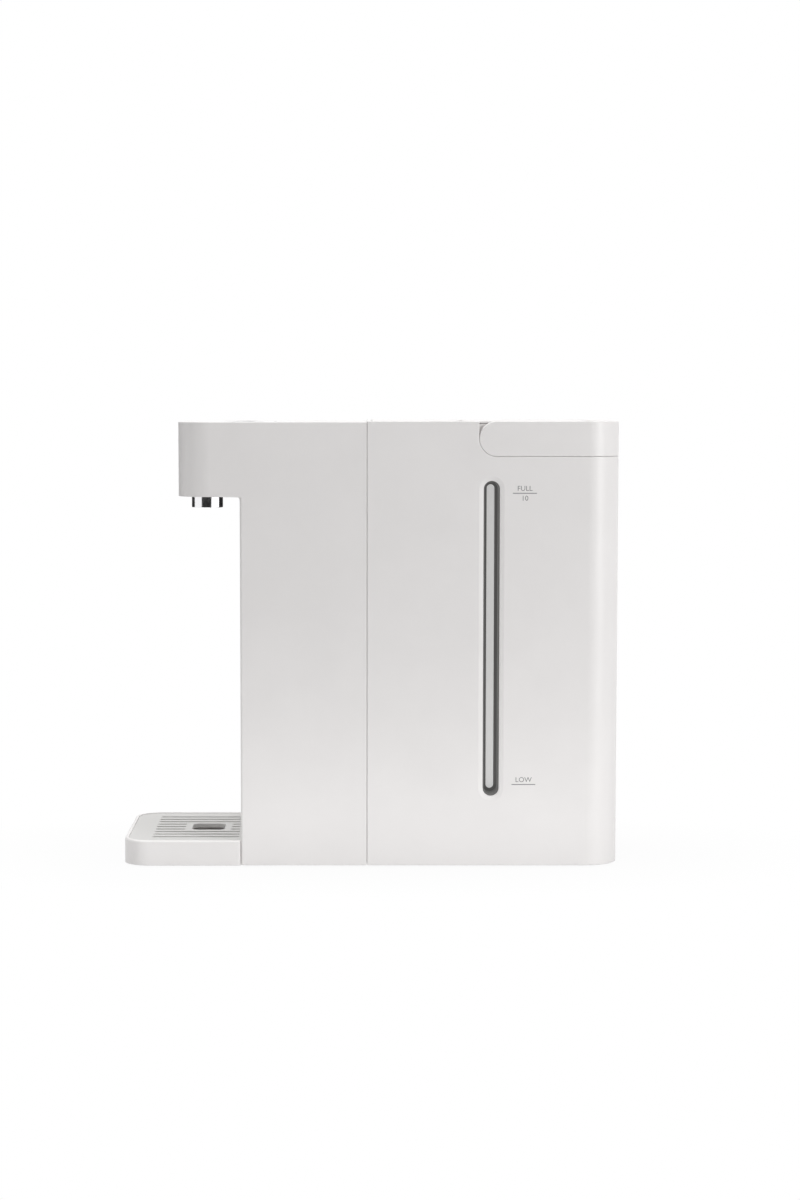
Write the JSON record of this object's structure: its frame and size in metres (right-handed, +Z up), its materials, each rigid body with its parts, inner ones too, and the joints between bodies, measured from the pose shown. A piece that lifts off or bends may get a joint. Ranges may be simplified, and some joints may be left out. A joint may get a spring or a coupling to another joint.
{
  "type": "instant hot water dispenser",
  "caption": "Slim countertop hot water dispenser: overhanging head with a short nozzle, lift-off rear tank with level window and bail handle, pull-out drip tray.",
  "frame": {"origin": "middle of the footprint on the table", "axes": "+X from the front with the drip tray to the back with the tank, +Y across the width, +Z up"},
  "size_m": [0.302, 0.11, 0.271],
  "materials": {
    "white_shell": "satin, fine texture",
    "white_inner": "as moulded",
    "panel_gloss": "gloss",
    "dark_plastic": "as moulded",
    "window_dark": "satin",
    "window_clear": "milky clear",
    "bright_metal": "polished",
    "steel": "plain",
    "soft_rubber": "matt",
    "silicone": "milky",
    "board_green": "solder resist",
    "sensor_brass": "plain"
  },
  "bodies": {
    "main": {"front_shell": "white_shell", "back_panel": "white_inner", "base": "white_inner", "base_cover": "white_inner", "feet": "soft_rubber", "base_screws": "steel", "panel_screws": "steel", "control_panel": "panel_gloss", "control_board": "board_green", "nozzle": "bright_metal", "nozzle_insert": "soft_rubber", "outlet_chamber": "white_inner", "heater_tube": "steel", "heater_lower_cap": "dark_plastic", "heater_upper_cap": "dark_plastic", "heater_clamps": "dark_plastic", "thermal_cutouts": "steel", "temperature_sensor": "sensor_brass", "pump_cover": "dark_plastic", "pump_housing": "dark_plastic", "pump_motor": "steel", "pump_cradle": "soft_rubber", "inlet_hose": "silicone", "pump_hose": "silicone", "outlet_hose": "silicone", "power_board": "board_green", "board_parts": "dark_plastic", "board_bracket": "white_inner", "board_screws": "steel", "tank_socket": "dark_plastic", "socket_seal": "soft_rubber", "cord_gland": "soft_rubber"},
    "rotor": {"impeller": "white_inner", "motor_rotor": "steel"},
    "tank": {"tank_shell": "white_shell", "tank_top": "white_shell", "window_frame": "window_dark", "window_lens": "window_clear", "handle_pins": "white_inner", "lid_pin": "steel", "valve_body": "white_inner", "valve_nut": "white_inner", "valve_washer": "silicone", "valve_spring": "steel"},
    "valve": {"valve_poppet": "dark_plastic", "poppet_seal": "silicone"},
    "handle": {"carry_handle": "white_shell"},
    "lid": {"tank_lid": "white_shell", "lid_gasket": "silicone"},
    "tray": {"drip_tray": "white_shell"},
    "grille": {"drip_grille": "white_shell"}
  },
  "joints": [
    {"name": "tank_lift", "type": "slide", "parent": "main", "child": "tank", "axis": [0, 0, 1], "range_m": [0, 0.28]},
    {"name": "valve_slide", "type": "slide", "parent": "tank", "child": "valve", "axis": [0, 0, 1], "range_m": [-0.0026, 0], "deforming": ["valve_spring"]},
    {"name": "handle_swing", "type": "hinge", "parent": "tank", "child": "handle", "pos_m": [0.0761, 0, 0.2606], "axis": [0, -1, 0], "range_deg": [0, 90]},
    {"name": "lid_swing", "type": "hinge", "parent": "tank", "child": "lid", "pos_m": [0.06, 0, 0.268], "axis": [0, -1, 0], "range_deg": [0, 105]},
    {"name": "tray_pull", "type": "slide", "parent": "main", "child": "tray", "axis": [-1, 0, 0], "range_m": [0, 0.1]},
    {"name": "grille_lift", "type": "slide", "parent": "tray", "child": "grille", "axis": [0, 0, 1], "range_m": [0, 0.03]},
    {"name": "pump_spin", "type": "hinge", "parent": "main", "child": "rotor", "pos_m": [-0.05, 0, 0.0338], "axis": [1, 0, 0], "continuous": true}
  ],
  "couplings": [
    {"joint": "valve_slide", "follows": "tank_lift", "ratio": -0.0089286}
  ]
}
